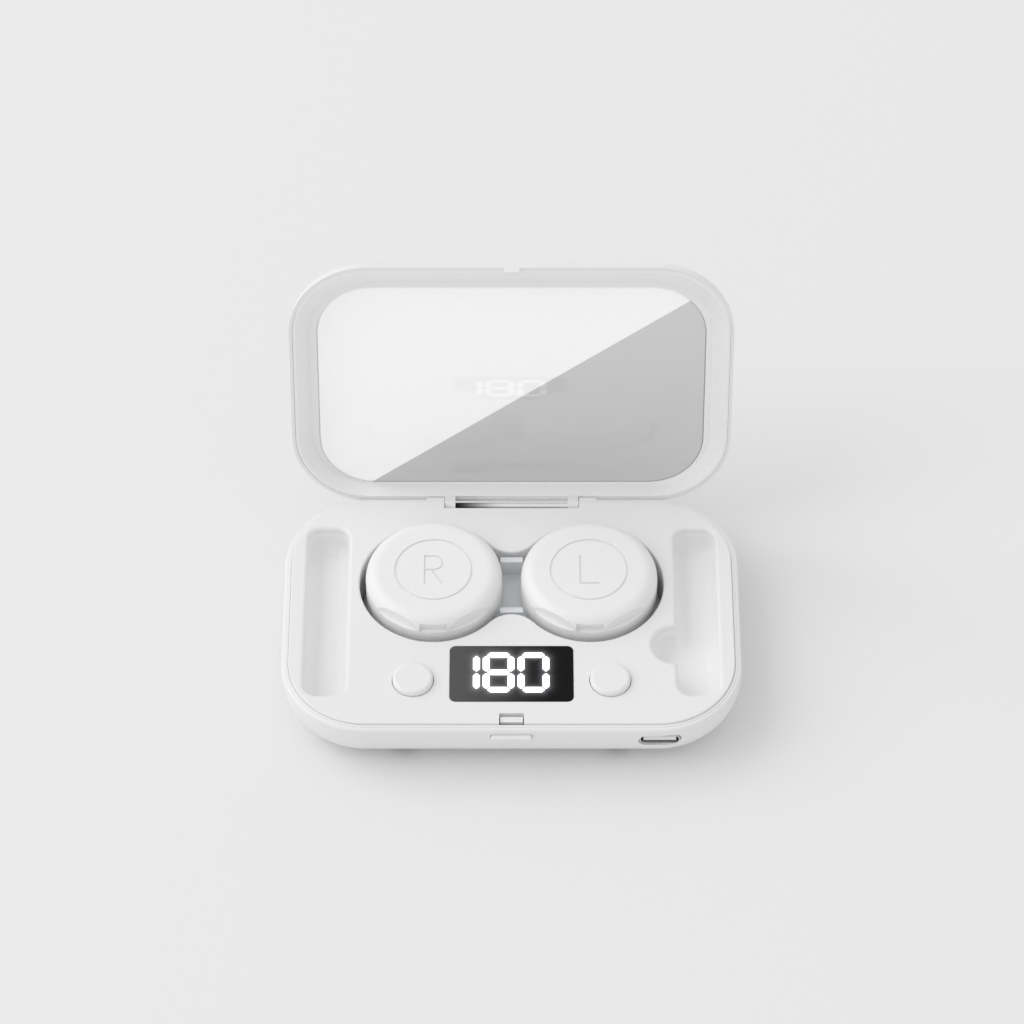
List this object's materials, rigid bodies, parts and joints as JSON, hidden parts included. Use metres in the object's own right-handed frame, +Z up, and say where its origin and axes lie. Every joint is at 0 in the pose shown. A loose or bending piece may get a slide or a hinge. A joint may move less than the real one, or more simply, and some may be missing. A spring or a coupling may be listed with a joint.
{
  "type": "contact lens cleaning case",
  "caption": "Shallow rounded case with a mirror lid, a lens bath with a removable twin lens case under screw caps, tool troughs, display, two buttons, latch and charging port.",
  "frame": {"origin": "centre of the base's footprint, on the table, at the underside of the non-slip pad", "axes": "+X to the user's right along the base's length, +Y away from the user towards the hinge, +Z up"},
  "size_m": [0.1, 0.0865, 0.073],
  "materials": {
    "shell_white": "moulded ABS, fine satin",
    "cap_white": "moulded polypropylene, satin",
    "lens_white": "moulded polypropylene, satin",
    "mirror_glass": "silvered glass",
    "window_black": "tinted acrylic, polished",
    "digit_light": "lit white bars",
    "dark_plastic": "moulded, matt",
    "steel": "polished steel",
    "steel_sheet": "pressed stainless sheet",
    "spring_steel": "drawn wire",
    "grey_rubber": "silicone rubber",
    "board_green": "glass-epoxy laminate with solder mask",
    "cell_foil": "laminated foil pouch",
    "foam": "adhesive foam",
    "ceramic": "piezo ceramic with silver face",
    "zinc_screw": "zinc plated"
  },
  "bodies": {
    "base": {"base_shell": "shell_white", "deck_panel": "shell_white", "bath_tub": "lens_white", "tray_left": "shell_white", "tray_right": "shell_white", "vibration_plate": "steel_sheet", "piezo_right_eye": "ceramic", "piezo_left_eye": "ceramic", "hinge_pin": "steel", "base_pad": "grey_rubber", "display_window": "window_black", "display_digits": "digit_light", "display_module": "dark_plastic", "switch_left": "dark_plastic", "switch_right": "dark_plastic", "dome_left": "grey_rubber", "dome_right": "grey_rubber", "main_board": "board_green", "board_chips": "dark_plastic", "battery": "cell_foil", "battery_foam": "foam", "usb_port": "steel_sheet", "usb_tongue": "dark_plastic", "latch_spring": "spring_steel", "spring_wall": "shell_white", "base_screws": "zinc_screw"},
    "lid": {"lid_shell": "shell_white", "lid_liner": "shell_white", "mirror": "mirror_glass", "mirror_tape": "foam"},
    "latch": {"latch_button": "shell_white"},
    "button_l": {"button_left": "shell_white"},
    "button_r": {"button_right": "shell_white"},
    "lens_case": {"lens_case_body": "lens_white"},
    "seal_of_r": {"seal_r": "grey_rubber"},
    "cap_of_r": {"cap_r": "cap_white"},
    "seal_of_l": {"seal_l": "grey_rubber"},
    "cap_of_l": {"cap_l": "cap_white"}
  },
  "joints": [
    {"name": "lid_hinge", "type": "hinge", "parent": "base", "child": "lid", "pos_m": [0, 0.0312, 0.0126], "axis": [-1, 0, 0], "range_deg": [-104, 0]},
    {"name": "latch_push", "type": "slide", "parent": "base", "child": "latch", "axis": [0, -1, 0], "range_m": [-0.0006, 0], "stiffness_N_per_m": 400, "springref_m": 0.0005, "deforming": ["latch_spring"]},
    {"name": "button_left_press", "type": "slide", "parent": "base", "child": "button_l", "axis": [0, 0, 1], "range_m": [-0.0005, 0], "stiffness_N_per_m": 800, "springref_m": 0.0002, "deforming": ["dome_left"]},
    {"name": "button_right_press", "type": "slide", "parent": "base", "child": "button_r", "axis": [0, 0, 1], "range_m": [-0.0005, 0], "stiffness_N_per_m": 800, "springref_m": 0.0002, "deforming": ["dome_right"]},
    {"name": "lens_case_lift", "type": "slide", "parent": "base", "child": "lens_case", "axis": [0, 0, 1], "range_m": [0, 0.03]},
    {"name": "cap_r_rise", "type": "slide", "parent": "lens_case", "child": "seal_of_r", "axis": [0, 0, 1], "range_m": [0, 0.0045]},
    {"name": "cap_r_turn", "type": "hinge", "parent": "seal_of_r", "child": "cap_of_r", "pos_m": [-0.01705, 0.0078, 0.0184], "axis": [0, 0, 1], "range_deg": [0, 541]},
    {"name": "cap_l_rise", "type": "slide", "parent": "lens_case", "child": "seal_of_l", "axis": [0, 0, 1], "range_m": [0, 0.0045]},
    {"name": "cap_l_turn", "type": "hinge", "parent": "seal_of_l", "child": "cap_of_l", "pos_m": [0.01705, 0.0078, 0.0184], "axis": [0, 0, 1], "range_deg": [0, 541]}
  ],
  "couplings": [
    {"joint": "cap_r_turn", "follows": "cap_r_rise", "rad_per_m": 2094.4},
    {"joint": "cap_l_turn", "follows": "cap_l_rise", "rad_per_m": 2094.4}
  ]
}
